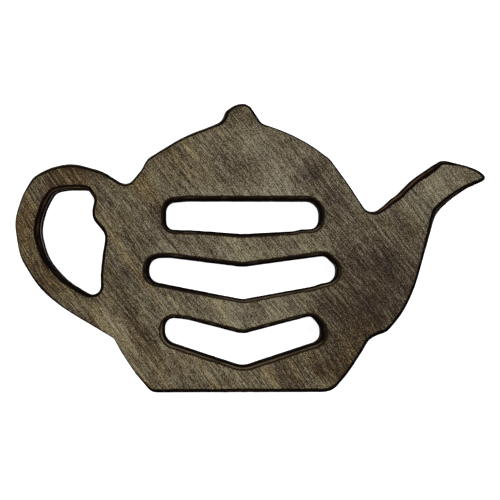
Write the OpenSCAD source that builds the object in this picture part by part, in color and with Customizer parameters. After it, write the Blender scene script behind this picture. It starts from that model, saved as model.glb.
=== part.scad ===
// Teapot-shaped trivet: a plywood board cut to the outline of a teapot, on four rubber feet.
//
// The board lies flat, +Z up, with the lid at +Y and the spout at +X. It is drawn with x = 0 on the
// pot's axis and y = 0 on its base edge, then moved so that the origin is under the middle of its box.

/* [Board] */
// Thickness of the face veneer, and of the back veneer
veneer_t = 1.4; // [1.3:0.1:2.4]
// Thickness of each of the two cross plies
cross_ply_t = 2; // [1:0.1:3]
// Thickness of the core ply
core_ply_t = 2.2; // [1:0.1:4]
// Radius of the eased edges of the face and the back
edge_r = 1.2; // [0.4:0.1:1.2]

/* [Plinth] */
// Width of the straight base edge
base_w = 76.4; // [68:0.2:90]
// Width of the plinth where the belly rests on it
plinth_w = 108.4; // [100:0.2:114]
// Height of the plinth
plinth_h = 22.8; // [16:0.2:28]

/* [Belly] */
// Reach of the body from its axis, at the handle's hole
back_reach = 57.8; // [52:0.1:62]
// Reach of the belly from its axis, where the spout leaves it
belly_reach = 82.8; // [76:0.1:88]
// Height where the spout leaves the belly
spout_root_h = 75.9; // [70:0.1:80]

/* [Lid] */
// Height of the lid's rim, where the shoulders turn in
rim_h = 99.2; // [94:0.1:104]
// Reach of the rim from the axis, on the handle's side
rim_back = 40.4; // [36:0.1:46]
// Reach of the rim from the axis, on the spout's side
rim_front = 37.7; // [33:0.1:43]
// Height of the lid's crown, under the knob
crown_h = 114.4; // [108:0.1:122]
// Width of the knob at its neck
knob_w = 16.8; // [13:0.1:24]
// Height of the knob over the crown
knob_h = 8.6; // [6:0.1:14]

/* [Handle] */
// Reach of the handle from the body's axis
handle_reach = 96.1; // [88:0.1:115]
// Height of the handle's top edge
handle_h = 96.9; // [90:0.1:104]
// Width of the handle's band
handle_w = 10.8; // [7:0.1:14]
// Height of the foot of the handle's hole
hole_foot_h = 41.5; // [36:0.1:48]
// Height of the notch between the handle and the lid
handle_notch_h = 88.6; // [84:0.1:91]
// Distance of that notch from the body's axis
handle_notch_x = 50.9; // [48:0.1:56]

/* [Spout] */
// Reach of the spout from the body's axis
spout_reach = 104.3; // [98:0.1:125]
// Height of the spout's lip
lip_h = 98.7; // [92:0.1:110]
// Height of the notch between the spout and the lid
spout_notch_h = 76.8; // [70:0.1:82]
// Distance of that notch from the body's axis
spout_notch_x = 53.2; // [49:0.1:58]

/* [Slots] */
// Distance of the slots' middle from the axis, towards the spout
slots_x = 0.3; // [-2:0.1:2]
// Length of the top slot
top_slot_l = 65.5; // [50:0.5:72]
// Height of the top slot's lowest point
top_slot_y = 67.3; // [65:0.1:70]
// Opening of the top slot
top_slot_h = 14; // [9:0.1:16]
// Length of the middle slot
middle_slot_l = 79.8; // [60:0.5:92]
// Height of the middle slot's lowest point
middle_slot_y = 39.4; // [37:0.1:43]
// Opening of the middle slot, from its lowest point to its ends' tops
middle_slot_h = 18; // [14:0.1:21]
// Length of the bottom slot
bottom_slot_l = 66.2; // [50:0.5:72]
// Height of the bottom slot's lowest point
bottom_slot_y = 11.2; // [8:0.1:14]
// Opening of the bottom slot, from its lowest point to its ends' tops
bottom_slot_h = 20.8; // [16:0.1:22.6]

/* [Feet] */
// Diameter of a rubber foot
foot_d = 10; // [6:0.5:12]
// Height of a rubber foot
foot_h = 2; // [1.2:0.1:4]
// Radius of its lower edge
foot_r = 0.6; // [0.2:0.1:1]
// Distance of a foot's centre from the edges that it stands near
foot_margin = 9; // [7.5:0.5:10]

/* [Hidden] */
$fn = 64;

arc_step = 15;   // largest angle between two points of a rounded corner, in degrees
arc_chord = 2.8; // largest distance between two points of a rounded corner
arc_room = 0.98; // most of an edge that the arcs at its two ends take up
tiny = 0.000001; // keeps a straight corner from dividing by zero
edge_steps = 3;  // facets round a quarter of an eased edge
run_out = 0.3;   // how far the round-over cutter runs past the faces, as a share of a facet

// The outline is a closed run of corners, anticlockwise. Each list holds the corners of one feature as
// [across, up, radius]: across and up are percent of that feature's box, and the radius is in mm.
plinth_side = [[43, 35, 30], [82, 76, 8]];
ledge_and_belly = [[0, 0, 8], [26, 5, 2.2], [49, 18, 45], [69, 41, 70]];
spout_lower_edge = [[70.5, 23.5, 40], [84, 45, 10]];
spout_mouth = [[100, 61.5, 1.8], [100, 71, 1.8], [94, 81.5, 8], [86, 89.5, 40], [67, 100, 4], [61.5, 100, 3.5]];
spout_upper_edge = [[39.5, 65, 12], [26, 33, 2], [22, 27.5, 2], [13.5, 9, 10], [6.5, 0, 5], [0, 0, 4.5]];
front_shoulder = [[47, 56, 90]];
front_of_lid = [[100, 0.5, 6], [65, 51, 70], [30, 81, 90], [0, 101, 2.5]];
knob_top = [[67, 100, 5], [36, 100, 8], [7.5, 62, 2]];
back_of_lid = [[1, 106, 4.5], [17, 91, 25], [43, 71, 50], [63, 49, 60], [100, 0, 5]];
back_shoulder = [[25, 53, 6], [69.5, 0, 4.2], [100, 0, 5]];
handle_edge = [
    [81.5, 96, 16], [57, 100, 26], [48, 100, 26], [32, 98, 22], [16.5, 92.5, 6], [6, 82, 40],
    [0, 69, 22], [0, 63, 30], [4.5, 46.5, 22], [22.5, 28.5, 40], [44.5, 17.5, 70]
];

// The openings, each in its own box
handle_hole = [
    [75, 0, 2], [93, 0, 3.4], [92, 19, 15], [95, 38, 15], [100, 56.5, 5], [79, 72, 5],
    [79, 81, 6], [82.5, 90, 2.5], [72.5, 99.5, 1.8], [44, 100, 30], [20, 97.5, 5], [6, 81, 25],
    [0, 66.5, 10], [0, 56.5, 12], [8, 37, 20], [21, 25.5, 30], [43, 11.5, 20]
];
top_slot = [
    [0, 13, 3.8], [19, 10.5, 20], [50, 0, 12], [83, 8.5, 5], [88, 14, 3], [100, 15, 4.5], [100, 100, 5.5],
    [15, 100, 8], [0, 95, 4]
];
middle_slot = [
    [0, 44, 4.5], [50, 0.5, 6], [88, 31, 8], [92, 37, 8], [100, 44.5, 4.3], [100, 78, 3.5],
    [94.5, 103, 3], [50, 76, 10], [11.5, 97.5, 6], [0, 97.5, 4.5]
];
bottom_slot = [
    [0, 51.5, 5.5], [50, -1, 8], [100, 51, 4], [100, 79.5, 3.5], [94, 101.5, 3], [50, 64.5, 8],
    [15, 93.5, 8], [0, 99.5, 4]
];

board_z = foot_h;
lower_cross_z = board_z + veneer_t;
core_z = lower_cross_z + cross_ply_t;
upper_cross_z = core_z + core_ply_t;
face_z = upper_cross_z + cross_ply_t;

// Corners of a feature, placed in its box. The box runs from its 0, 0 corner to its 100, 100 corner,
// and may run to the left or downwards.
function placed(corners, from, to) = [
    for (c = corners) [
        from.x + (to.x - from.x) * c[0] / 100,
        from.y + (to.y - from.y) * c[1] / 100,
        c[2]
    ]
];
function reversed(list) = [for (i = [len(list) - 1 : -1 : 0]) list[i]];

// The whole outline, anticlockwise from the left end of the base edge
outline = concat(
    [[-base_w / 2, 0, 4], [base_w / 2, 0, 8]],
    placed(plinth_side, [base_w / 2, 0], [plinth_w / 2, plinth_h]),
    placed(ledge_and_belly, [plinth_w / 2, plinth_h], [belly_reach, spout_root_h]),
    [[belly_reach, spout_root_h, 12]],
    placed(
        concat(spout_lower_edge, spout_mouth, spout_upper_edge),
        [spout_notch_x, spout_notch_h], [spout_reach, lip_h]
    ),
    placed(front_shoulder, [rim_front, spout_notch_h], [spout_notch_x, rim_h]),
    placed(front_of_lid, [knob_w / 2, rim_h], [rim_front, crown_h]),
    placed(knob_top, [-knob_w / 2, crown_h], [knob_w / 2, crown_h + knob_h]),
    placed(back_of_lid, [-knob_w / 2, rim_h], [-rim_back, crown_h]),
    placed(back_shoulder, [-rim_back, handle_notch_h], [-handle_notch_x, rim_h]),
    placed(handle_edge, [-handle_reach, plinth_h], [-handle_notch_x, handle_h]),
    [[-plinth_w / 2, plinth_h, 1.7]],
    reversed(placed(plinth_side, [-base_w / 2, 0], [-plinth_w / 2, plinth_h]))
);
openings = [
    placed(handle_hole, [handle_w - handle_reach, hole_foot_h], [-back_reach, handle_h - handle_w]),
    slot(top_slot, top_slot_l, top_slot_y, top_slot_h),
    slot(middle_slot, middle_slot_l, middle_slot_y, middle_slot_h),
    slot(bottom_slot, bottom_slot_l, bottom_slot_y, bottom_slot_h)
];
function slot(corners, length, y, height) =
    placed(corners, [slots_x - length / 2, y], [slots_x + length / 2, y + height]);

// Rounds the corners of a closed anticlockwise run. The result is a list of [point, outward direction].
// An arc reaches along both edges of its corner, and two arcs on a short edge share it.
function rounded(corners) = [
    for (i = [0 : len(corners) - 1])
    let (
        before = (i + len(corners) - 1) % len(corners),
        after = (i + 1) % len(corners),
        here = flat(corners[i]),
        back = flat(corners[before]) - here,
        ahead = flat(corners[after]) - here,
        turn = turn_at(corners, i),
        reach = min(
            fair_share(reach_at(corners, i), reach_at(corners, before), norm(back)),
            fair_share(reach_at(corners, i), reach_at(corners, after), norm(ahead))
        ),
        r = reach / max(tan(abs(turn) / 2), tiny),
        first = [-back.y, back.x] / norm(back),
        centre = here + back / norm(back) * reach - first * r * sign(turn),
        steps = ceil(max(abs(turn) / arc_step, r * abs(turn) * PI / 180 / arc_chord))
    )
    for (k = [0 : steps])
    let (out = turned(first, turn * k / max(steps, 1)))
    [centre + out * r * sign(turn), out]
];
function turn_at(corners, i) =
    let (
        arriving = flat(corners[i]) - flat(corners[(i + len(corners) - 1) % len(corners)]),
        leaving = flat(corners[(i + 1) % len(corners)]) - flat(corners[i])
    )
    atan2(cross(arriving, leaving), arriving * leaving);
function reach_at(corners, i) = corners[i][2] * tan(abs(turn_at(corners, i)) / 2);
function fair_share(mine, other, length) =
    min(mine, arc_room * length * mine / max(mine + other, tiny));
function flat(corner) = [corner[0], corner[1]];
function turned(v, angle) = [v.x * cos(angle) - v.y * sin(angle), v.x * sin(angle) + v.y * cos(angle)];

board_edge = rounded(outline);
opening_edges = [for (o = openings) rounded(o)];

// Middle of the board's box
edge_x = [for (e = board_edge) e[0].x];
edge_y = [for (e = board_edge) e[0].y];
middle = [(min(edge_x) + max(edge_x)) / 2, (min(edge_y) + max(edge_y)) / 2];

// Section of the round-over cutter for a ply of thickness t, as [distance into the board, height].
// Its first and last facets cross the wall and the face, and it closes outside the board.
function round_over_section(t) =
    let (
        arc = [
            for (k = [0 : edge_steps])
            let (a = 90 * k / edge_steps)
            [edge_r * (1 - cos(a)), t - edge_r + edge_r * sin(a)]
        ],
        foot = arc[0] - (arc[1] - arc[0]) * run_out,
        head = arc[edge_steps] + (arc[edge_steps] - arc[edge_steps - 1]) * run_out
    )
    concat([foot], [for (k = [1 : edge_steps - 1]) arc[k]], [head, [foot.x, head.y]]);

// The round-over cutter, run once round an edge. side is -1 where the board lies inside the edge
// and 1 where it lies outside, as round an opening.
module round_over(edge, t, side) {
    section = round_over_section(t);
    n = len(edge);
    m = len(section);
    points = [
        for (e = edge, s = section)
        [e[0].x + e[1].x * side * s.x, e[0].y + e[1].y * side * s.x, s.y]
    ];
    faces = [
        for (i = [0 : n - 1], j = [0 : m - 1])
        let (
            a = i * m,
            b = (i + 1) % n * m,
            next = (j + 1) % m
        )
        side > 0 ? [a + j, a + next, b + next, b + j] : [b + j, b + next, a + next, a + j]
    ];
    polyhedron(points, faces);
}

// An outer ply, with its upper edges eased all round and round every opening
module eased_ply(t) {
    difference() {
        square_ply(t);
        round_over(board_edge, t, -1);
        for (edge = opening_edges) round_over(edge, t, 1);
    }
}

// An inner ply, cut square
module square_ply(t) {
    linear_extrude(t)
        difference() {
            polygon([for (e = board_edge) e[0]]);
            for (edge = opening_edges) polygon([for (e = edge) e[0]]);
        }
}

module on_board(z) {
    translate([-middle.x, -middle.y, z]) children();
}

module face_veneer() {
    color("#5e5543") on_board(face_z) eased_ply(veneer_t);
}

module upper_cross_ply() {
    color("#2e251c") on_board(upper_cross_z) square_ply(cross_ply_t);
}

module core_ply() {
    color("#3b3025") on_board(core_z) square_ply(core_ply_t);
}

module lower_cross_ply() {
    color("#2e251c") on_board(lower_cross_z) square_ply(cross_ply_t);
}

module back_veneer() {
    color("#5e5543") on_board(lower_cross_z) mirror([0, 0, 1]) eased_ply(veneer_t);
}

// A rubber foot under the board. across is -1 on the handle's side and 1 on the spout's side.
module foot(across, y) {
    color("#1c1c1d")
        on_board(0)
            translate([across * (base_w / 2 - foot_margin), y, 0])
                rotate_extrude() {
                    square([foot_d / 2 - foot_r, foot_h]);
                    translate([0, foot_r]) square([foot_d / 2, foot_h - foot_r]);
                    translate([foot_d / 2 - foot_r, foot_r]) circle(foot_r);
                }
}
front_foot_y = foot_margin;
rear_foot_y = rim_h - foot_margin;

module front_left_foot() { foot(-1, front_foot_y); }
module front_right_foot() { foot(1, front_foot_y); }
module rear_left_foot() { foot(-1, rear_foot_y); }
module rear_right_foot() { foot(1, rear_foot_y); }

face_veneer();
upper_cross_ply();
core_ply();
lower_cross_ply();
back_veneer();
front_left_foot();
front_right_foot();
rear_left_foot();
rear_right_foot();
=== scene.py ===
import math

import bpy
import numpy as np
from mathutils import Matrix, Vector
from mathutils.geometry import delaunay_2d_cdt


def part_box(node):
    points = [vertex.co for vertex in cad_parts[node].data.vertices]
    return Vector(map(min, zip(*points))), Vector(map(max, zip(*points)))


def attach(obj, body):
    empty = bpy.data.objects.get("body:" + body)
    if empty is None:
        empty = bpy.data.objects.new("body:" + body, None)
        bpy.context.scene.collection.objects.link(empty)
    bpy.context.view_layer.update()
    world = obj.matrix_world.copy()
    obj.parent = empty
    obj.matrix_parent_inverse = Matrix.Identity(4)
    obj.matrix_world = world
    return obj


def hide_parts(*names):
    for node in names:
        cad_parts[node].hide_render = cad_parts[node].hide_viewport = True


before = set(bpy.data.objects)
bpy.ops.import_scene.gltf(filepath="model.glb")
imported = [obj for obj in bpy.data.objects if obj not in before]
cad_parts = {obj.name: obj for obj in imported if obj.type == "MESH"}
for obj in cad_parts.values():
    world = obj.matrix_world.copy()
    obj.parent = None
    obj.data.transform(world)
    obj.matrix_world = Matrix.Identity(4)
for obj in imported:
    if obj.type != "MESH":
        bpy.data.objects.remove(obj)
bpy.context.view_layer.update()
print("frame loaded:", ", ".join(sorted(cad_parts)))

mm = 0.001


# Outline loops of a node's flat cap at a height: the edges of the cap's triangles that no other
# triangle shares, chained head to tail. Each keeps the board on its left. The widest comes first.
def capLoops(node, height):
    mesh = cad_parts[node].data
    mesh.calc_loop_triangles()
    points = np.empty(len(mesh.vertices) * 3)
    mesh.vertices.foreach_get("co", points)
    points = points.reshape(-1, 3)
    triangles = np.empty(len(mesh.loop_triangles) * 3, int)
    mesh.loop_triangles.foreach_get("vertices", triangles)
    triangles = triangles.reshape(-1, 3)
    flat = np.all(np.abs(points[triangles][:, :, 2] - height) < 1e-6, axis=1)
    spots, ids = np.unique(np.round(points[:, :2], 7), axis=0, return_inverse=True)
    starts = ids.ravel()[triangles[flat]]
    ends = np.roll(starts, -1, axis=1)
    rim = ~np.isin(starts * len(spots) + ends, ends * len(spots) + starts)
    follow = dict(zip(starts[rim].tolist(), ends[rim].tolist()))
    loops = []
    while follow:
        chain = [next(iter(follow))]
        while chain[-1] in follow:
            chain.append(follow.pop(chain[-1]))
        loops.append(spots[chain[:-1]])
    return sorted(loops, key=lambda loop: -np.ptp(loop[:, 0]))


# A closed loop at an even step, with the facets of its arcs blurred along its length by a bell
# curve: each Fourier term is scaled by exp(-2 (pi f blur)^2).
def softened(loop, step, blur):
    closed = np.vstack([loop, loop[:1]])
    run = np.r_[0, np.cumsum(np.hypot(*np.diff(closed, axis=0).T))]
    count = int(run[-1] / step)
    at = np.arange(count) * run[-1] / count
    line = np.interp(at, run, closed[:, 0]) + 1j * np.interp(at, run, closed[:, 1])
    waves = np.fft.fftfreq(count, run[-1] / count)
    line = np.fft.ifft(np.fft.fft(line) * np.exp(-2 * (math.pi * waves * blur) ** 2))
    return np.stack([line.real, line.imag], axis=1)


# A value from 0 to 1 that wanders along a closed loop: a sum of cosines of whole numbers of
# turns, from the longest to the shortest wave, each with its own phase.
def wander(count, length, longest, shortest, rng):
    turns = np.arange(max(1, round(length / longest)), max(2, round(length / shortest)) + 1)
    phases = rng.uniform(0, 2 * math.pi, len(turns))
    sizes = rng.uniform(0.4, 1, len(turns)) / np.sqrt(turns)
    around = np.arange(count) / count * 2 * math.pi
    value = (sizes * np.cos(around[:, None] * turns + phases)).sum(axis=1)
    return (value - value.min()) / np.ptp(value)


# Distance from each point to the nearest of the targets, and which one that is
def nearest(points, targets, batch=400):
    found = np.empty(len(points), int)
    far = np.empty(len(points))
    for start in range(0, len(points), batch):
        part = points[start:start + batch]
        gaps = ((part[:, None] - targets) ** 2).sum(axis=2)
        found[start:start + batch] = gaps.argmin(axis=1)
        far[start:start + batch] = np.sqrt(gaps.min(axis=1))
    return far, found


# A smooth piece from points and faces, with named values on its points
def meshObject(name, points, faces, material, values=None, sharp=40):
    mesh = bpy.data.meshes.new(name)
    mesh.from_pydata(points.tolist(), [], faces)
    for key, value in (values or {}).items():
        vector = value.ndim == 2
        layer = mesh.attributes.new(key, "FLOAT_VECTOR" if vector else "FLOAT", "POINT")
        layer.data.foreach_set("vector" if vector else "value", value.astype(np.float32).ravel())
    mesh.shade_smooth()
    mesh.set_sharp_from_angle(angle=math.radians(sharp))
    mesh.materials.append(material)
    mesh.validate()
    piece = bpy.data.objects.new(name, mesh)
    bpy.context.scene.collection.objects.link(piece)
    return piece


# A shader's linear colour from levels of 0 to 255
def srgb(*levels):
    shares = [level / 255 for level in levels]
    return (*[s / 12.92 if s <= 0.04 else ((s + 0.055) / 1.055) ** 2.4 for s in shares], 1)


# A socket that can be written in sums: each operator adds a Math node
class Wire:
    def __init__(self, finish, socket):
        self.finish = finish
        self.socket = socket

    def sum(self, operation, *others):
        return self.finish.node("ShaderNodeMath", {"operation": operation}, dict(enumerate(others)))

    def __add__(self, other): return self.sum("ADD", self, other)
    def __radd__(self, other): return self.sum("ADD", other, self)
    def __sub__(self, other): return self.sum("SUBTRACT", self, other)
    def __rsub__(self, other): return self.sum("SUBTRACT", other, self)
    def __mul__(self, other): return self.sum("MULTIPLY", self, other)
    def __rmul__(self, other): return self.sum("MULTIPLY", other, self)
    def __truediv__(self, other): return self.sum("DIVIDE", self, other)
    def __rtruediv__(self, other): return self.sum("DIVIDE", other, self)


class Finish:
    def __init__(self, name):
        self.material = bpy.data.materials.new(name)
        self.material.use_nodes = True
        self.tree = self.material.node_tree
        self.tree.nodes.clear()
        self.output = self.tree.nodes.new("ShaderNodeOutputMaterial")

    # A node of a type, its settings first, then the values or links of its sockets
    def node(self, kind, settings=None, sockets=None, out=0):
        made = self.tree.nodes.new(kind)
        for key, value in (settings or {}).items():
            if key == "stops":
                while len(made.color_ramp.elements) < len(value):
                    made.color_ramp.elements.new(0.5)
                for element, (position, colour) in zip(made.color_ramp.elements, value):
                    element.position = position
                    element.color = colour
            else:
                setattr(made, key, value)
        for key, value in (sockets or {}).items():
            if isinstance(value, Wire):
                self.tree.links.new(value.socket, made.inputs[key])
            else:
                made.inputs[key].default_value = value
        return Wire(self, made.outputs[out])

    def place(self):
        return self.node("ShaderNodeTexCoord", out="Object")

    def value(self, name, out="Fac"):
        return self.node("ShaderNodeAttribute", {"attribute_name": name}, out=out)

    # Noise round 0 on a vector that is first stretched by three scales
    def noise(self, vector, scales, detail=2, roughness=0.6, shift=0):
        spread = self.node("ShaderNodeMapping", {}, {
            "Vector": vector, "Location": (shift, shift * 0.7, shift * 1.3), "Scale": scales})
        return self.node("ShaderNodeTexNoise", {"normalize": True}, {
            "Vector": spread, "Scale": 1.0, "Detail": detail, "Roughness": roughness}) - 0.5

    # 0 below the first edge, 1 above the second, a smooth rise between
    def rise(self, value, start, end):
        return self.node("ShaderNodeMapRange", {"interpolation_type": "SMOOTHSTEP"}, {
            "Value": value, "From Min": start, "From Max": end})

    def clamp(self, value, low=0.0, high=1.0):
        return self.node("ShaderNodeClamp", {}, {"Value": value, "Min": low, "Max": high})

    # How far a value is from a place, up or down
    def gap(self, value, place):
        return self.node("ShaderNodeMath", {"operation": "ABSOLUTE"}, {0: value - place})

    def mix(self, factor, first, second):
        return self.node("ShaderNodeMix", {"data_type": "RGBA"}, {
            "Factor": factor, 6: first, 7: second}, out=2)

    def ramp(self, value, stops):
        return self.node("ShaderNodeValToRGB", {"stops": stops}, {"Fac": value})

    def bump(self, height, distance, strength):
        return self.node("ShaderNodeBump", {}, {
            "Height": height, "Distance": distance, "Strength": strength})

    def surface(self, **sockets):
        names = {key.replace("_", " "): value for key, value in sockets.items()}
        shader = self.node("ShaderNodeBsdfPrincipled", {}, names)
        self.tree.links.new(shader.socket, self.output.inputs["Surface"])
        return self.material


# Stained veneer. Its grain, the lie of the stain, the scorch at its edges and a painted highlight
# on its outer lip come from values that the veneer's mesh carries: grain (along, across), fromEdge
# and burnReach in millimetres, and the shares tone, warmth, streaks, charBrown (brown
# char, and a painted highlight in the slots), rimWear (the painted highlight on the lip)
# and opening (1 round a slot).
stainedVeneer = {
    # place on the ramp, then the plain stain, the golden one and the mauve one
    "stops": [
        (0.00, (26, 16, 10), (31, 19, 9), (27, 20, 17)),
        (0.20, (55, 43, 29), (65, 47, 26), (57, 46, 36)),
        (0.38, (78, 67, 50), (88, 71, 44), (79, 68, 55)),
        (0.52, (94, 85, 66), (104, 89, 59), (95, 85, 70)),
        (0.68, (111, 104, 84), (121, 107, 76), (112, 103, 88)),
        (0.84, (130, 124, 103), (140, 127, 94), (131, 123, 108)),
        (1.00, (155, 150, 128), (165, 154, 120), (157, 149, 135)),
    ],
    # cycles per mm along the grain and across it, detail, roughness, shift, share of the light
    # and share of the warmth
    "grains": {
        "speck": (2.4, 3.6, 2, 0.7, 5, 4.0, 0),
        "fine": (0.30, 2.2, 3, 0.65, 0, 1.5, 0),
        "hair": (0.09, 2.6, 2, 0.6, 11, 1.7, 0),
        "long": (0.045, 0.62, 3, 0.55, 23, 0.18, 1.3),
        "band": (0.016, 0.16, 2, 0.5, 37, 0.18, 1.6),
        "fleck": (0.7, 1.1, 3, 0.6, 41, 0.42, 0),
        "cloud": (0.07, 0.09, 3, 0.55, 53, 0.20, 1.3),
        "streak": (0.014, 0.48, 2, 0.5, 71, 0.25, 1.2),
    },
    "streakFrom": 0.06,     # the part of the streaks' noise that shows
    "streakFull": 0.22,
    "middle": 0.439,        # place on the ramp of wood without figure
    "toneShare": 0.15,
    "toneContrast": 0.05,   # loss of contrast where the stain is darkest
    "warmthShare": 0.85,
    "sheen": 0.14,
    # shares by which smoke, ragged spots and fibres change the scorch's reach
    "reachSmoke": 0.3,
    "reachRagged": 0.4,
    "reachFibre": 0.9,
    "burnSoft": (-0.10, 0.14),   # its border, from black to wood, in mm
    "outerChar": (0.5, 0.9),     # where a slot's char turns browner, as a share of the reach
    "linePlace": 0.36,           # where the paler line runs, and how much further in a slot
    "slotLine": 0.17,
    "lineWidth": (0.05, 0.2),
    "lipHighlightWidth": (0.34, 0.66),   # the painted highlight on the outer lip, in mm from the cut
    "scorch": srgb(14, 10, 8),
    "scorchEdge": srgb(37, 28, 19),
    "scorchBrown": srgb(78, 57, 40),
    # the paler line of the char in the slots, a painted highlight
    "slotPaleHighlight": srgb(92, 80, 62),
    # the colour of the painted highlight on the outer lip
    "lipHighlightColour": srgb(92, 84, 72),
}


def veneerFinish(name, seed, burn):
    look = stainedVeneer
    finish = Finish(name)
    place = finish.place()
    grain = finish.value("grain", out="Vector")
    fromEdge = finish.value("fromEdge")
    tone = finish.value("tone")
    opening = finish.value("opening")
    streaks = finish.value("streaks")

    noises, light = {}, {}
    warmth = look["warmthShare"] * finish.value("warmth")
    for key, (along, across, detail, rough, shift, lightShare, warmShare) in look["grains"].items():
        noises[key] = finish.noise(grain, (along, across, 1), detail, rough, seed + shift)
        if key == "streak":
            shown = finish.rise(noises[key], look["streakFrom"], look["streakFull"])
            noises[key] = shown * streaks * streaks
        light[key] = lightShare * noises[key]
        if warmShare:
            warmth = warmth + warmShare * noises[key]
    # specks and hairs are calmer where the grain is streaky, and all fibres where it is dark
    calm = 1 - 0.1 * streaks
    figure = (light["speck"] + light["hair"]) * calm + light["fine"] * (0.9 + 0.1 * streaks)
    figure = figure + light["long"] + light["band"]
    figure = figure * (1 + finish.clamp(look["toneContrast"] * tone, -0.3, 0.0))
    figure = figure + light["fleck"] * (1 - 0.6 * streaks) + light["cloud"] + light["streak"]
    shade = look["middle"] + look["toneShare"] * tone + figure
    plain, golden, mauve = (
        finish.ramp(shade, [(stop[0], srgb(*stop[k])) for stop in look["stops"]]) for k in (1, 2, 3)
    )
    wood = finish.mix(finish.clamp(warmth), plain, golden)
    wood = finish.mix(finish.clamp(0 - warmth), wood, mauve)

    ragged = finish.noise(place, (900, 900, 900), shift=seed + 61)
    smoke = finish.noise(place, (210, 210, 210), roughness=0.5, shift=seed + 67)
    reach = finish.value("burnReach") * (1 + look["reachSmoke"] * smoke)
    reach = reach + look["reachRagged"] * ragged + look["reachFibre"] * noises["fine"]
    depth = fromEdge / reach
    inBurn = 1 - finish.rise(fromEdge - reach, *look["burnSoft"])
    offLine = finish.gap(depth, look["linePlace"] + look["slotLine"] * opening)
    line = 1 - finish.rise(offLine, *look["lineWidth"])
    # the paler line in the char: browner char in places, and in the slots a painted highlight on
    # the sides of the cut that face up and right
    brown = finish.clamp(line * (finish.value("charBrown") + 1.6 * smoke + 0.9 * ragged))
    outer = finish.rise(depth, *look["outerChar"]) * opening
    scorched = finish.mix(outer, look["scorch"], look["scorchEdge"])
    charLineAndHighlight = finish.mix(opening, look["scorchBrown"], look["slotPaleHighlight"])
    scorched = finish.mix(brown, scorched, charLineAndHighlight)
    # a painted highlight on the outer lip, where the cut faces the key light, laid over the char
    highlit = finish.rise(fromEdge, 0.0, 0.08) * (1 - finish.rise(fromEdge, *look["lipHighlightWidth"]))
    highlit = highlit * finish.clamp(finish.value("rimWear") * (0.85 + 2.4 * smoke + 1.2 * ragged))
    scorched = finish.mix(highlit, scorched, look["lipHighlightColour"])
    colour = finish.mix(inBurn * burn, wood, scorched)

    fibres = 0.6 * noises["fine"] + 0.5 * noises["hair"] + 0.4 * noises["fleck"]
    relief = finish.bump(fibres, 0.04 * mm, 0.5)
    roughness = finish.clamp(0.56 - 0.25 * noises["fine"] + 0.15 * smoke, 0.3, 0.8)
    sheen = look["sheen"] * (1 - inBurn)
    return finish.surface(Base_Color=colour, Roughness=roughness, Normal=relief,
                          Specular_IOR_Level=0.0, Coat_Weight=sheen, Coat_Roughness=0.4)


# Scorched cut edge of an inner ply: soot over brown wood, with fibres that run level, and a thin
# paler glue line along its upper and lower arrises. Melted resin glazes the upper seam, in patches.
cutEdge = {
    "soot": srgb(16, 12, 9),
    "char": srgb(34, 26, 20),
    "brown": srgb(66, 49, 33),
    "glue": srgb(84, 76, 66),
    "glueShare": 0.8,
    "glueWidth": (0.08 * mm, 0.26 * mm),
    "beadLift": 0.6 * mm,    # the glaze's middle, above the core's upper face
    "beadWidth": (0.2 * mm, 0.65 * mm),
}


def edgeFinish(name, ply, low, high, seam):
    look = cutEdge
    seed = ply["seed"]
    finish = Finish(name)
    place = finish.place()
    height = finish.node("ShaderNodeSeparateXYZ", {}, {"Vector": place}, out="Z")
    level = finish.noise(place, (60, 60, 2600), detail=3, shift=seed)
    patch = finish.noise(place, (70, 70, 160), detail=3, shift=seed + 9)
    pores = finish.noise(place, (520, 520, 1900), shift=seed + 17)
    wood = finish.mix(finish.clamp(0.5 + 1.8 * level), look["soot"], look["char"])
    bare = finish.clamp((patch + 0.5 * pores + (ply["brown"] - 0.5)) * 3.2)
    wood = finish.mix(bare, wood, look["brown"])
    toArris = finish.node("ShaderNodeMath", {"operation": "MINIMUM"}, {
        0: height - low, 1: high - height})
    glue = (1 - finish.rise(toArris, *look["glueWidth"])) * finish.clamp(0.5 + 1.8 * patch)
    colour = finish.mix(glue * look["glueShare"], wood, look["glue"])
    relief = finish.bump(level + 0.6 * pores, 0.08 * mm, 0.8)
    roughness = finish.clamp(0.62 + 0.5 * pores + 0.1 * bare, 0.4, 0.9)
    bead = 1 - finish.rise(finish.gap(height, seam + look["beadLift"]), *look["beadWidth"])
    coat = finish.value("inside") * ply["glaze"] * bead * (1 + 7 * patch)
    return finish.surface(Base_Color=colour, Roughness=roughness, Normal=relief,
                          Specular_IOR_Level=0.0, Coat_Weight=finish.clamp(coat, 0.0, 0.9),
                          Coat_Roughness=0.3)


# Matt black rubber with a little dust on it
rubberPad = {"black": srgb(24, 24, 25), "dust": srgb(62, 60, 57), "gloss": 0.3}


def rubberFinish():
    look = rubberPad
    finish = Finish("rubber")
    place = finish.place()
    mottle = finish.noise(place, (260, 260, 260), detail=3)
    grit = finish.noise(place, (2400, 2400, 2400))
    colour = finish.mix(finish.clamp(0.16 + 0.9 * mottle), look["black"], look["dust"])
    relief = finish.bump(grit, 0.03 * mm, 0.6)
    roughness = finish.clamp(0.72 + 0.4 * mottle, 0.4, 0.95)
    return finish.surface(Base_Color=colour, Roughness=roughness, Normal=relief,
                          Specular_IOR_Level=look["gloss"])


# How the board was cut out
cut = {
    "step": 0.4 * mm,        # spacing of points along the edge
    "blur": 0.5 * mm,        # how far the arcs' facets are blurred
    "waver": 0.12 * mm,      # how far the cut wandered, always into the board
    "longestWave": 26 * mm,
    "shortestWave": 3.2 * mm,
}
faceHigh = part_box("face_veneer")[1].z
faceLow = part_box("face_veneer")[0].z
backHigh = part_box("back_veneer")[1].z
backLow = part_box("back_veneer")[0].z

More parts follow.
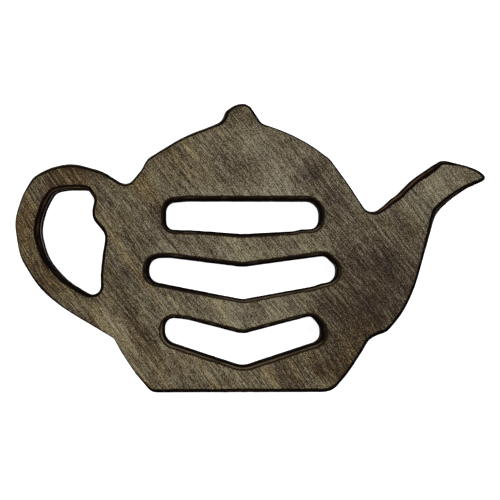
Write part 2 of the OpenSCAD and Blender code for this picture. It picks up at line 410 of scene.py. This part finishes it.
rng = np.random.default_rng(12)
rims = []      # the points of each closed loop; rim, below, is all of them in one array
outwards = []
following = []
loopOf = []
for number, loop in enumerate(capLoops("core_ply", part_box("core_ply")[1].z)):
    line = softened(loop, cut["step"], cut["blur"])
    along = np.roll(line, -1, axis=0) - np.roll(line, 1, axis=0)
    along /= np.hypot(*along.T)[:, None]
    outward = np.stack([along[:, 1], -along[:, 0]], axis=1)
    length = len(line) * cut["step"]
    waver = wander(len(line), length, cut["longestWave"], cut["shortestWave"], rng)
    first = sum(len(r) for r in rims)
    rims.append(line - outward * (waver * cut["waver"])[:, None])
    outwards.append(outward)
    following.append(first + (np.arange(len(line)) + 1) % len(line))
    loopOf.append(np.full(len(line), number))
rim = np.vstack(rims)
outward = np.vstack(outwards)
following = np.concatenate(following)
loopOf = np.concatenate(loopOf)
# the widest first, as capLoops gives them
loopNames = ["outline", "middleSlot", "bottomSlot", "topSlot", "handleHole"]
onOutline = loopOf == loopNames.index("outline")
inHandle = loopOf == loopNames.index("handleHole")
inSlot = ~onOutline & ~inHandle
print("edge:", len(rims), "loops,", len(rim), "points")


# A value from 0 to 1 on each point of the rim, which wanders along each loop by itself
def wanderRound(longest, shortest, rng):
    return np.concatenate([
        wander(len(line), len(line) * cut["step"], longest, shortest, rng) for line in rims
    ])


# How many times the loops wind round each spot: 1 inside the board, 0 in an opening. A side that
# crosses the spot's level to its right counts 1 upwards and -1 downwards.
def windings(spots, points, batch=400):
    start, end = points, points[following]
    count = np.zeros(len(spots), int)
    for first in range(0, len(spots), batch):
        x, y = spots[first:first + batch, 0, None], spots[first:first + batch, 1, None]
        rises = (start[:, 1] <= y) & (end[:, 1] > y)
        falls = (end[:, 1] <= y) & (start[:, 1] > y)
        share = (y - start[:, 1]) / np.where(rises | falls, end[:, 1] - start[:, 1], 1)
        ahead = start[:, 0] + share * (end[:, 0] - start[:, 0]) > x
        count[first:first + batch] = (rises & ahead).sum(axis=1) - (falls & ahead).sum(axis=1)
    return count


# Triangles that fill the region inside the outer loop and outside the others. The loops' points
# come first and keep their order, and any more points are inside the region.
def filled(points, more=None):
    spots = points if more is None else np.vstack([points, more])
    edges = np.stack([np.arange(len(points)), following], axis=1)
    flat = [Vector(spot) for spot in (spots / mm).tolist()]
    insideWithHoles = 2
    made = delaunay_2d_cdt(flat, edges.tolist(), [], insideWithHoles, 1e-6)
    places, faces = made[0], made[2]
    if len(places) != len(spots):
        raise ValueError(f"the fill made {len(places) - len(spots)} points of its own")
    faces = np.array(faces)
    a, b, c = (spots[faces[:, k]] for k in range(3))
    turn = (b - a)[:, 0] * (c - a)[:, 1] - (b - a)[:, 1] * (c - a)[:, 0]
    faces[turn < 0] = faces[turn < 0][:, ::-1]
    return faces[windings((a + b + c) / 3, points) == 1]


# Quads between each row of points and the next one up. Point i of a row is followed by after[i].
def bands(rowCount, after):
    here = np.arange(len(after))
    rows = np.arange(rowCount - 1)[:, None] * len(after)
    above = rows + len(after)
    return np.stack([rows + here, rows + after, above + after, above + here], axis=2).reshape(-1, 4)


# Walls: the rim carried up a profile of (how far in, height) rows. Row j, point i is at
# rim[i] - outward[i] * in[j], at height[j]. insets may differ from point to point.
def walls(insets, heights):
    insets = np.broadcast_to(insets, (len(heights), len(rim)))
    flat = rim[None] - outward[None] * insets[..., None]
    up = np.broadcast_to(np.asarray(heights)[:, None, None], (len(heights), len(rim), 1))
    points = np.concatenate([flat, up], axis=2).reshape(-1, 3)
    return points, bands(len(heights), following)


plainFill = filled(rim)
print("plain fill:", len(plainFill), "triangles")


# Each inner ply is cut a hair deeper than the veneers, by an amount that wanders, and its two
# arrises are broken, so the glue lines read as thin steps round the edge.
innerPlies = {
    "upper_cross_ply": {
        "name": "upperCrossPly", "deep": 0.10 * mm, "seed": 3, "brown": 0.34, "glaze": 0.5},
    "core_ply": {
        "name": "corePly", "deep": 0.03 * mm, "seed": 5, "brown": 0.55, "glaze": 0.5},
    "lower_cross_ply": {
        "name": "lowerCrossPly", "deep": 0.10 * mm, "seed": 8, "brown": 0.34, "glaze": 0.0},
}
plyEdge = {
    "ragged": 0.10 * mm,     # how much deeper the cut is at its deepest
    "longestWave": 40 * mm,
    "shortestWave": 1.6 * mm,
    # the wall's profile: how far in each row of points lies, from the lower arris to the upper
    "profile": [0.14, 0.05, 0, -0.02, 0, 0.05, 0.14],
    "arris": 0.12 * mm,      # how far a broken arris reaches along the wall
}
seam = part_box("core_ply")[1].z
for node, ply in innerPlies.items():
    low, high = (corner.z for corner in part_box(node))
    rng = np.random.default_rng(ply["seed"])
    ragged = wanderRound(plyEdge["longestWave"], plyEdge["shortestWave"], rng)
    deep = ragged * plyEdge["ragged"] + ply["deep"]
    arris = plyEdge["arris"]
    heights = [low, low + arris * 0.3, low + arris, (low + high) / 2,
               high - arris, high - arris * 0.3, high]
    shape = np.array(plyEdge["profile"]) * mm
    points, quads = walls(deep[None] + shape[:, None], heights)
    top = plainFill + (len(heights) - 1) * len(rim)
    faces = quads.tolist() + top.tolist() + plainFill[:, ::-1].tolist()
    finish = edgeFinish(ply["name"] + "Edge", ply, low, high, seam)
    inside = {"inside": np.tile(~onOutline * 1.0, len(heights))}
    piece = meshObject(ply["name"], points, faces, finish, inside)
    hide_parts(node)
    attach(piece, "root")
    print("inner ply:", ply["name"])


# How far the scorch reaches in from the cut, in mm, where the cut faces the spout, the handle,
# the lid and the base. Then, on the outline, places round which it is deeper or shallower, as
# (x, y, radius, reach).
scorch = {
    "outline": (1.3, 0.85, 1.3, 1.62),
    "middleSlot": (2.5, 2.05, 1.85, 2.1),
    "bottomSlot": (2.25, 3.2, 2.25, 1.8),
    "topSlot": (1.95, 2.3, 1.85, 2.1),
    "handleHole": (2.6, 1.35, 1.3, 1.9),
    "places": [
        (18, 52, 12, 0.7), (32, 40, 14, 0.7), (46, 22, 12, 0.75), (57, 16, 6, 2.3),
        (62, 20, 5, 2.4), (68, 24, 8, 2.5), (76, 31, 8, 2.9), (83, 37, 4, 1.5), (93, 36, 6, 0.85),
        (99, 32, 4, 1.4), (94, 27, 6, 1.7), (86, 22, 7, 2.0), (79, 17, 5, 3.2), (79, 9, 6, 1.6),
        (-70, -28, 14, 0.6), (-50, -45, 11, 0.45), (-56, -36, 6, 0.25), (-11, 55, 4, 1.8),
        (-79, 34, 12, 1.45), (-96, 8, 14, 0.7),
    ],
    # places round which a paler line shows in the char, as (x, y, radius, share)
    "pale": [
        (70, 26, 12, 1.1), (58, 16, 7, 0.9), (82, 18, 8, 0.45), (-37, -38, 7, 0.9),
        (-22, -46, 12, 0.9), (-3, -51, 9, 1.0), (14, -46, 12, 0.7), (27, -42, 6, 0.6),
        (-8, -23, 9, 0.7), (8, -21, 10, 0.8), (24, -17, 9, 0.8), (34, -15, 5, 0.8),
        (23, 7, 12, 0.5), (-24, 29, 13, 1.4), (14, 30, 12, 1.2), (-26, -34, 8, 1.4),
        (-85, 12, 8, 0.4), (-78, 26, 10, 0.7),
    ],
    "pull": 1.6,                # how strongly the places draw the reach
    "paleLoss": 0.1,            # how much less of the paler line there is everywhere
    "slotHighlightFacing": (0.5, 0.8),   # in a slot it is a painted highlight, on the sides of the cut that face this way, up and right
    "slotHighlightLeast": 0.2,           # and this little on the others
}
# The painted highlight on the outer lip, on the sides that face the key light: the way its cut
# faces, where the highlight starts and how fast it grows from there, and the x in mm past which
# there is none
lip = {"facing": (-0.8, 0.6), "start": 0.25, "growth": 3, "until": 40}
# The stain by the rim, lighter or darker
rimTone = {
    "handleSide": -0.7,    # along the outline towards the handle
    "base": -0.3,          # along the outline towards the base
    "hole": -0.5,          # all round the handle's hole
    "holeSide": -0.5,      # and more where that faces the spout
    "overSlots": 0.5,
    "width": 3.2,          # how far it reaches past the scorch, mm
}
face = {
    "ease": 1.2 * mm,                   # radius of the eased edge
    "easeSteps": 7,
    "easeVaries": 0.18,                 # how much narrower it gets in places, as a share
    "longestWave": 30 * mm,             # of the change in the eased edge
    "shortestWave": 5 * mm,
    "nearRows": [0.35, 0.8, 1.4, 2.2],  # rows of points in from the eased edge, mm
    "rowClear": 0.93,                   # a point of a row stays this share of its gap clear
    "pitch": 1.5 * mm,                  # spacing of the points inside the face
    "gridClear": 2.9 * mm,              # how far those stay from the eased edge
    "scatter": 0.2,                     # how far they stray, as a share of the pitch
    "backStain": 0.3,                   # share of the stain's patches that the back has
}

# The stain's lie, placed one by one: x, y, half length along the grain, half width, lighter or
# darker, warmer or cooler. Lengths in mm.
stainPatches = [
    # belly towards the spout, dark
    (56, -20, 32, 24, -1.8, -0.1), (57, -7, 7, 6, -1.3, -0.4), (40, -8, 5, 5, -0.8, 0.0),
    (54, -25, 8, 7, -0.6, 0.0), (38, -27, 13, 8, -1.3, -0.1), (29, -25, 5, 5, -0.9, 0.0),
    (49, -41, 12, 8, -1.0, 0.8), (38, -50, 18, 8, -1.6, 0.7), (29, -52, 6, 5, -1.2, 0.2),
    (16, -53, 9, 6, -1.6, 0.5), (64, 9, 8, 6, -0.8, 0.2),
    # lid
    (26, 32, 5, 8, -1.8, -0.8), (37, 21, 8, 9, -0.9, -0.5), (4, 40, 9, 6, 0.7, -0.1),
    (11, 26, 9, 9, 1.5, -0.1), (-3, 33, 7, 4, -1.5, 0.0), (-13, 47, 10, 5, 0.5, 0.2),
    (-5, 58, 9, 6, -0.3, 0.3), (-33, 37, 12, 5, -0.6, 0.5), (-45, 24, 14, 4, -0.6, 0.7),
    # left of the slots
    (-39, 14, 6, 5, -1.2, -0.4), (-54, 12, 10, 4, -0.7, 0.2), (-49, -8, 8, 7, -1.15, -0.3),
    (-58, -14, 8, 6, -1.0, 0.2), (-70, -17, 12, 7, -0.8, 0.0), (-52, -27, 8, 5, -1.3, 0.2),
    (-44, -41, 9, 4, -2.0, 0.2), (-36, -41, 4, 3, 2.4, 0.4), (-64, -27, 8, 4, 0.4, 0.35),
    (-55, -38, 11, 4, 2.1, 0.5), (-28, -49, 10, 5, 0.3, 0.6), (-16, -54, 8, 4, 0.2, 0.2),
    (-1, -55, 6, 4, 0.2, 0.7),
    # bars between the slots
    (-5, -1, 26, 6, 0.95, 0.0), (27, 4, 9, 5, 0.4, -0.1), (-10, -27, 12, 6, 1.7, 0.1),
    (12, -27, 10, 6, 0.6, -0.1),
    # handle and spout
    (-79, 30, 14, 9, -2.2, 1.1), (-95, 9, 9, 9, -1.15, 1.7), (-88, -14, 12, 11, -1.0, 0.8),
    (78, 26, 9, 6, 1.5, 0.2), (88, 29, 8, 5, 0.3, 0.1),
]
stainDrift = {"warmth": 0.02, "towardsSpout": -0.1, "over": 40}    # a slow change across the board

# Places where the grain runs steeper or flatter, as (x, y, radius, degrees steeper)
grainBends = [
    (20, -53, 20, 9), (55, -35, 20, 4), (24, 31, 16, 6), (84, 25, 14, -3), (-48, 4, 14, 4),
    (-74, 31, 14, -5), (-79, -17, 14, -11), (-20, -20, 16, -3), (-30, 0, 12, -3),
]


# Where the streaky grain ends: the x in mm that it fades round, over what width, and how much
# further it reaches for each mm below a height
streaky = {"fadesRound": -12, "width": 16, "below": -32, "shift": 1.6}
fibreX, fibreY = 0.63, -0.78    # the way the fibres run


def inMillimetres(points):
    return points[:, 0] / mm, points[:, 1] / mm


# How far a step of (x, y) goes down the fibres, and how far over them
def downFibres(x, y):
    return fibreX * x + fibreY * y


def overFibres(x, y):
    return fibreX * y - fibreY * x


# 1 at a place, falling to 0 all round it by exp(-(distance / radius)^2)
def bell(x, y, px, py, radius):
    return np.exp(-((x - px) ** 2 + (y - py) ** 2) / radius ** 2)


# 1 well below 0, 0 well above it, over a few widths
def fade(value, width):
    return 1 / (1 + np.exp(value / width))


# Where a point lies in the grain, in mm: along runs down the fibres and across over them, as
# across = 0.78 x + 0.63 y + 0.000006 x^3, plus two slow waves, plus a bell round each bend that
# turns the fibres there.
def grainAt(points):
    x, y = inMillimetres(points)
    along = downFibres(x, y)
    across = overFibres(x, y) + 0.000006 * x ** 3
    slow = 0.4 * np.sin(along / 15 + across / 34)
    across = across + slow + 0.15 * np.sin(along / 7.3 - across / 12)
    for px, py, radius, turn in grainBends:
        turned = math.radians(turn) * downFibres(x - px, y - py)
        across = across + turned * bell(x, y, px, py, radius)
    return np.stack([along, across, np.zeros(len(x))], axis=1)


# The stain's tone and warmth at each point: a sum of bells, each longer along the grain
def stainAt(points):
    x, y = inMillimetres(points)
    tone = np.zeros(len(x))
    warmth = np.zeros(len(x))
    for px, py, halfLength, halfWidth, lighter, warmer in stainPatches:
        along = downFibres(x - px, y - py) / halfLength
        across = overFibres(x - px, y - py) / halfWidth
        patch = np.exp(-along ** 2 - across ** 2)
        tone += lighter * patch
        warmth += warmer * patch
    drift = stainDrift["towardsSpout"] * np.tanh(x / stainDrift["over"])
    return tone, warmth + stainDrift["warmth"] + drift


# How straight and streaky the grain runs: 1 towards the handle, fading to 0 past the middle, and
# later along the base
def streaksAt(points):
    x, y = inMillimetres(points)
    past = x - streaky["fadesRound"] + streaky["shift"] * np.minimum(y - streaky["below"], 0)
    return fade(past, streaky["width"])


# The scorch's reach on each point of the rim: the four reaches weighed by the squares of the way
# the cut faces, then drawn towards the places near the point by a bell round each
def burnAt():
    facing = np.stack([outward[:, 0], -outward[:, 0], outward[:, 1], -outward[:, 1]], axis=1)
    reaches = np.array([scorch[name] for name in loopNames])[loopOf]
    reach = (np.clip(facing, 0, 1) ** 2 * reaches).sum(axis=1)
    x, y = inMillimetres(rim)
    weight = np.zeros(len(x))
    wanted = np.zeros(len(x))
    for px, py, radius, deep in scorch["places"]:
        near = bell(x, y, px, py, radius) * onOutline
        weight += near
        wanted += near * deep
    share = np.clip(weight * scorch["pull"], 0, 1)
    return reach * (1 - share) + wanted / np.maximum(weight, 1e-9) * share


# How brown the char is on each point of the rim. In the slots it is partly a painted highlight,
# shown most on the sides of the cut that face up and right
def charBrownAndHighlightAt():
    x, y = inMillimetres(rim)
    brown = np.zeros(len(x))
    for px, py, radius, share in scorch["pale"]:
        brown += share * bell(x, y, px, py, radius)
    shown = np.clip(0.5 + outward @ np.array(scorch["slotHighlightFacing"]), scorch["slotHighlightLeast"], 1)
    return np.where(inSlot, brown * shown, brown) - scorch["paleLoss"]


# How much painted highlight the face's outer lip has on each point of the rim: on the outline,
# where it faces the lid and the handle, towards the key light
def lipHighlightAt():
    facing = outward @ np.array(lip["facing"])
    highlit = np.clip((facing - lip["start"]) * lip["growth"], 0, 1)
    return highlit * onOutline * (rim[:, 0] / mm < lip["until"])


# The stain by the rim: darker along the outline towards the handle and the base, and round the
# handle's hole, and lighter over the slots. The handle's side fades out over the middle, and the
# base's share fades out upwards.
def rimToneAt():
    x, y = inMillimetres(rim)
    left, base = fade(x + 2, 8), fade(y, 6)
    outline = rimTone["handleSide"] * left + rimTone["base"] * base * (1 - left)
    hole = rimTone["hole"] + rimTone["holeSide"] * np.clip(outward[:, 0], 0, 1)
    slot = rimTone["overSlots"] * np.clip(-outward[:, 1], 0, 1)
    return np.where(onOutline, outline, np.where(inHandle, hole, slot))


# A veneer: plain walls up to an eased edge, whose quarter round softens and sharpens along its
# way, then a flat face with points close enough together to carry the stain. The back veneer is
# the same, turned over.
def veneer(name, node, low, high, up, seed, burn):
    rng = np.random.default_rng(seed)
    steps = np.linspace(0, math.pi / 2, face["easeSteps"] + 1)
    softness = wanderRound(face["longestWave"], face["shortestWave"], rng)
    ease = face["ease"] * (1 - face["easeVaries"] * softness)
    insets = np.vstack([np.zeros((1, len(rim))), ease * (1 - np.cos(steps))[:, None]])
    rises = np.r_[0, (high - low) - face["ease"] + face["ease"] * np.sin(steps)]
    points, quads = walls(insets, low + rises)
    inner = points[-len(rim):, :2]
    # points inside the face: rows near the eased edge, then an even grid
    rows = np.vstack([inner[::2] - outward[::2] * gap * mm for gap in face["nearRows"]])
    gaps = np.repeat(face["nearRows"], len(inner[::2])) * mm
    clear, _ = nearest(rows, inner)
    rows = rows[clear > gaps * face["rowClear"]]
    xs = np.arange(rim[:, 0].min(), rim[:, 0].max(), face["pitch"])
    ys = np.arange(rim[:, 1].min(), rim[:, 1].max(), face["pitch"])
    grid = np.stack(np.meshgrid(xs, ys), axis=2).reshape(-1, 2)
    grid = grid + rng.uniform(-face["scatter"], face["scatter"], grid.shape) * face["pitch"]
    clear, close = nearest(grid, inner)
    inside = ((grid - inner[close]) * outward[close]).sum(axis=1) < 0
    grid = grid[inside & (clear > face["gridClear"])]
    more = np.vstack([rows, grid])
    cap = filled(inner, more) + len(points) - len(inner)
    faces = quads.tolist() + cap.tolist() + plainFill[:, ::-1].tolist()
    points = np.vstack([points, np.column_stack([more, np.full(len(more), high)])])
    # values on the points
    _, close = nearest(points[:, :2], rim)
    far, _ = nearest(more, rim)
    fromEdge = np.concatenate([insets.ravel(), far]) / mm
    reach = burnAt()[close]
    # the painted highlight on the lip is on the face only, not on the back
    lipLight = lipHighlightAt()[close] if up else np.zeros(len(points))
    tone, warmth = stainAt(points)
    tone += rimToneAt()[close] * np.exp(-((fromEdge - reach) / rimTone["width"]) ** 2)
    if not up:
        tone, warmth = tone * face["backStain"], warmth * face["backStain"]
    values = {
        "grain": grainAt(points), "fromEdge": fromEdge, "burnReach": reach,
        "streaks": streaksAt(points), "charBrown": charBrownAndHighlightAt()[close], "rimWear": lipLight,
        "opening": inSlot[close] * 1.0, "tone": tone, "warmth": warmth,
    }
    if not up:
        points[:, 2] = low + high - points[:, 2]
        faces = [f[::-1] for f in faces]
    piece = meshObject(name, points, faces, veneerFinish(name + "Stain", seed, burn), values)
    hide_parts(node)
    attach(piece, "root")
    print("veneer:", name, len(piece.data.polygons), "faces")
    return piece


faceVeneer = veneer("faceVeneer", "face_veneer", faceLow, faceHigh, True, 21, 1.0)
backVeneer = veneer("backVeneer", "back_veneer", backLow, backHigh, False, 34, 0.9)


# A foot is turned: its profile of (radius, height) shares is carried round its axis. The bottom
# is dished a little, with a rounded lip.
foot = {
    "around": 64,
    "slimmer": 0.998,    # its radius, as a share of half its box
    "profile": [
        (0.0, 0.16), (0.30, 0.15), (0.58, 0.10), (0.70, 0.03), (0.80, 0.0), (0.88, 0.015),
        (0.95, 0.08), (0.99, 0.20), (1.0, 0.34), (1.0, 0.62), (0.985, 0.80), (0.99, 0.90),
        (0.99, 1.0), (0.5, 1.0), (0.0, 1.0),
    ],
}
rubber = rubberFinish()
for node in ("front_left_foot", "front_right_foot", "rear_left_foot", "rear_right_foot"):
    low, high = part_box(node)
    shares = np.array(foot["profile"])
    rows = shares[1:-1]    # the first and last are the two poles
    n, m = foot["around"], len(rows)
    turn = np.arange(n) / n * 2 * math.pi
    ring = np.stack([np.cos(turn), np.sin(turn)], axis=1)
    radius = (high.x - low.x) / 2 * foot["slimmer"]
    centre = [(low.x + high.x) / 2, (low.y + high.y) / 2]
    levels = low.z + (high.z - low.z) * rows[:, 1]
    flat = rows[:, None, :1] * radius * ring[None] + centre
    tall = np.broadcast_to(levels[:, None, None], (m, n, 1))
    points = np.concatenate([flat, tall], axis=2).reshape(-1, 3)
    bottom = low.z + (high.z - low.z) * shares[0, 1]
    points = np.vstack([points, [*centre, bottom], [*centre, high.z]])
    here = np.arange(n)
    after = (here + 1) % n
    last = (m - 1) * n
    under = np.stack([after, here, np.full(n, m * n)], axis=1)
    over = np.stack([last + here, last + after, np.full(n, m * n + 1)], axis=1)
    faces = bands(m, after).tolist() + under.tolist() + over.tolist()
    parts = node.split("_")
    piece = meshObject(parts[0] + parts[1].title() + "Foot", points, faces, rubber)
    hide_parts(node)
    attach(piece, "root")
print("feet done")


studio = {
    "floorSize": 6.0,
    "floorGlow": 0.93,     # what the camera sees of the floor without any light
    "floorColour": 0.75,
    "worldLight": 0.16,
    # square softboxes that face the origin, as (place, side in metres, power in watts)
    "softboxes": {
        "keyLight": ((-0.75, 0.85, 0.95), 0.7, 17),
        "fillLight": ((0.95, 0.2, 1.0), 0.9, 7.2),
        "frontLight": ((-0.1, -1.1, 0.9), 0.8, 5.5),
    },
}


def floorFinish():
    finish = Finish("floorWhite")
    rays = finish.node("ShaderNodeLightPath", out="Is Camera Ray")
    for kind in ("Is Glossy Ray", "Is Transmission Ray"):
        rays = rays + finish.node("ShaderNodeLightPath", out=kind)
    paint = finish.node("ShaderNodeBsdfDiffuse", {}, {"Color": (*[studio["floorColour"]] * 3, 1)})
    glow = finish.node("ShaderNodeEmission", {}, {
        "Color": (1, 1, 1, 1), "Strength": finish.clamp(rays) * studio["floorGlow"]})
    both = finish.node("ShaderNodeAddShader", {}, {0: paint, 1: glow})
    finish.tree.links.new(both.socket, finish.output.inputs["Surface"])
    return finish.material


half = studio["floorSize"] / 2
corners = np.array([[-half, -half, 0], [half, -half, 0], [half, half, 0], [-half, half, 0]])
floor = meshObject("floor", corners, [[0, 1, 2, 3]], floorFinish())

# The world is bright to what the camera sees, straight or by a mirror or through glass, and
# gives little light otherwise
world = bpy.data.worlds.new("studio")
world.use_nodes = True
bpy.context.scene.world = world
tree = world.node_tree
tree.nodes.clear()
sky = tree.nodes.new("ShaderNodeBackground")
sky.inputs["Color"].default_value = (1, 1, 1, 1)
pathInfo = tree.nodes.new("ShaderNodeLightPath")
brightest = None
for kind in ("Is Camera Ray", "Is Glossy Ray", "Is Transmission Ray"):
    strength = tree.nodes.new("ShaderNodeMath")
    strength.operation = "MAXIMUM"
    strength.inputs[0].default_value = studio["worldLight"]
    if brightest:
        tree.links.new(brightest, strength.inputs[0])
    tree.links.new(pathInfo.outputs[kind], strength.inputs[1])
    brightest = strength.outputs[0]
tree.links.new(brightest, sky.inputs["Strength"])
tree.links.new(sky.outputs[0], tree.nodes.new("ShaderNodeOutputWorld").inputs["Surface"])

for name, (place, side, power) in studio["softboxes"].items():
    lamp = bpy.data.lights.new(name, "AREA")
    lamp.shape = "SQUARE"
    lamp.size = side
    lamp.energy = power
    holder = bpy.data.objects.new(name, lamp)
    bpy.context.scene.collection.objects.link(holder)
    holder.location = place
    holder.rotation_euler = (-Vector(place)).to_track_quat("-Z", "Y").to_euler()

# The camera is set by its place and the point it looks at, with +Y upwards in the picture
view = {
    "place": (-0.011311, -0.016028, 0.461),
    "target": (-0.000707, -0.001182, 0.011),
    "lens": 76.446,
    "sensor": 36,
}
lens = bpy.data.cameras.new("camera")
lens.lens = view["lens"]
lens.sensor_width = view["sensor"]
lens.clip_start = 0.01
camera = bpy.data.objects.new("camera", lens)
bpy.context.scene.collection.objects.link(camera)
forward = (Vector(view["target"]) - Vector(view["place"])).normalized()
right = forward.cross(Vector((0, 1, 0))).normalized()
upward = right.cross(forward)
turned = Matrix((right, upward, -forward)).transposed().to_4x4()
camera.matrix_world = Matrix.Translation(view["place"]) @ turned
bpy.context.scene.camera = camera
bpy.context.scene.view_settings.view_transform = "Standard"
print("studio done")
